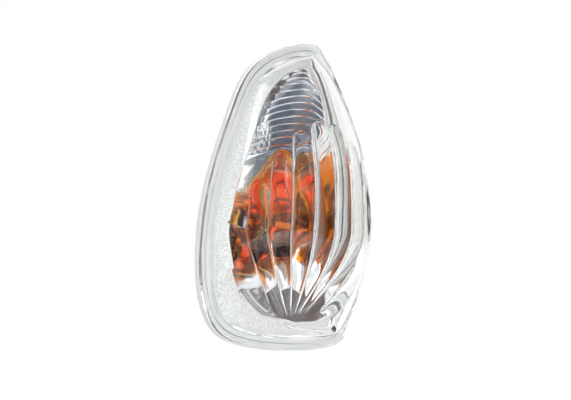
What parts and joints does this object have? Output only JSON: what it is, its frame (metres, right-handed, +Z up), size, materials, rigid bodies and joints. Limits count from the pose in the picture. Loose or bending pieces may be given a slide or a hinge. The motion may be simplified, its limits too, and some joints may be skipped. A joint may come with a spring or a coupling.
{
  "type": "mirror turn signal lamp",
  "caption": "Turn signal lamp for a door mirror: clear domed lens with inner optic flutes, stepped bright reflector, amber wedge bulb and twist-lock bulb holder.",
  "frame": {"origin": "middle of the plane on which the rear of the housing flange seats", "axes": "+Y out of the back of the lamp, into the mirror shell; -Y is the front of the lens; +Z up, along the height of the lamp"},
  "size_m": [0.0553, 0.06, 0.096],
  "materials": {
    "clear_lens": "clear moulded acrylic, glossy",
    "sealant": "satin",
    "bright_metallised": "vacuum-metallised plastic, bright in the bowl and satin on the land",
    "plated_steel": "zinc plated",
    "grey_plastic": "fine moulded",
    "white_membrane": "matte",
    "amber_glass": "glossy",
    "lead_wire": "drawn wire",
    "glass_bead": "fused",
    "black_plastic": "fine moulded",
    "black_rubber": "matte",
    "contact_brass": "stamped strip"
  },
  "bodies": {
    "root": {"outer_lens": "clear_lens", "lens_seal": "sealant", "reflector": "bright_metallised", "reflector_screw": "plated_steel", "housing": "grey_plastic", "vent_patch": "white_membrane", "bulb_glass": "amber_glass", "bulb_filament": "lead_wire", "bulb_lead_left": "lead_wire", "bulb_lead_right": "lead_wire", "bulb_bead": "glass_bead", "bulb_holder": "black_plastic", "holder_seal": "black_rubber", "contact_left": "contact_brass", "contact_right": "contact_brass"}
  },
  "joints": []
}
